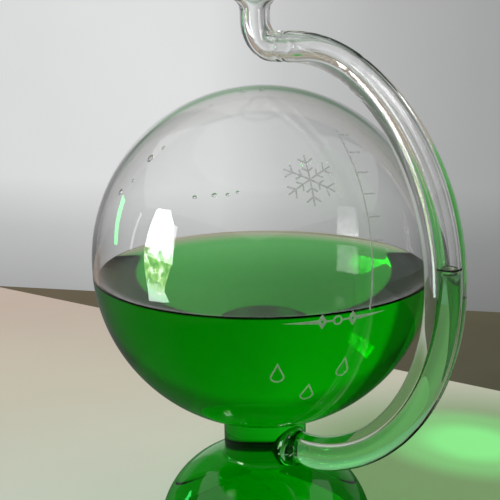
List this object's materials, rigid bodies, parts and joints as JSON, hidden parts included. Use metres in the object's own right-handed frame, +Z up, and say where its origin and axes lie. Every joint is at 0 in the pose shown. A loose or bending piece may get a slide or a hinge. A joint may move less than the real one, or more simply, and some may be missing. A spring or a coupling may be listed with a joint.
{
  "type": "weather glass",
  "caption": "Blown glass weather globe on a hollow domed foot, part filled with green liquid, with a curved open spout that carries the moving liquid level and ends in a cup.",
  "frame": {"origin": "on the globe's upright axis, in the plane that the foot stands on", "axes": "+Z up along the globe's axis, +X from the globe's axis toward the spout's bend, +Y away from the side that carries the printed scale"},
  "size_m": [0.1472, 0.12, 0.2186],
  "materials": {
    "clear_glass": "clear, fire polished",
    "spout_glass": "clear, thick, drawn with faint waves",
    "green_liquid": "clear deep green liquid",
    "thin_liquid": "clear green liquid in a narrow bore",
    "white_enamel": "thin matt enamel fired on"
  },
  "bodies": {
    "vessel": {"globe_shell": "clear_glass", "neck_tube": "clear_glass", "foot_shell": "clear_glass", "foot_floor": "clear_glass", "spout_root": "spout_glass", "spout_tube": "spout_glass", "spout_crown": "spout_glass", "spout_elbow": "spout_glass", "mouth_cup": "clear_glass", "mouth_bead": "clear_glass", "globe_liquid": "green_liquid", "neck_liquid": "green_liquid", "foot_liquid": "green_liquid", "spout_liquid": "thin_liquid", "scale_line": "white_enamel", "scale_marks": "white_enamel", "level_pointer": "white_enamel", "crystal_print": "white_enamel", "raindrop_print": "white_enamel"},
    "level_end": {"spout_level": "thin_liquid"}
  },
  "joints": [
    {"name": "level_rise", "type": "hinge", "parent": "vessel", "child": "level_end", "pos_m": [0.0098, 0, 0.11653], "axis": [0, -1, 0], "range_deg": [-45, 45], "stiffness_Nm_per_rad": 0.0017, "springref_deg": 2.86, "deforming": ["spout_liquid"]}
  ]
}
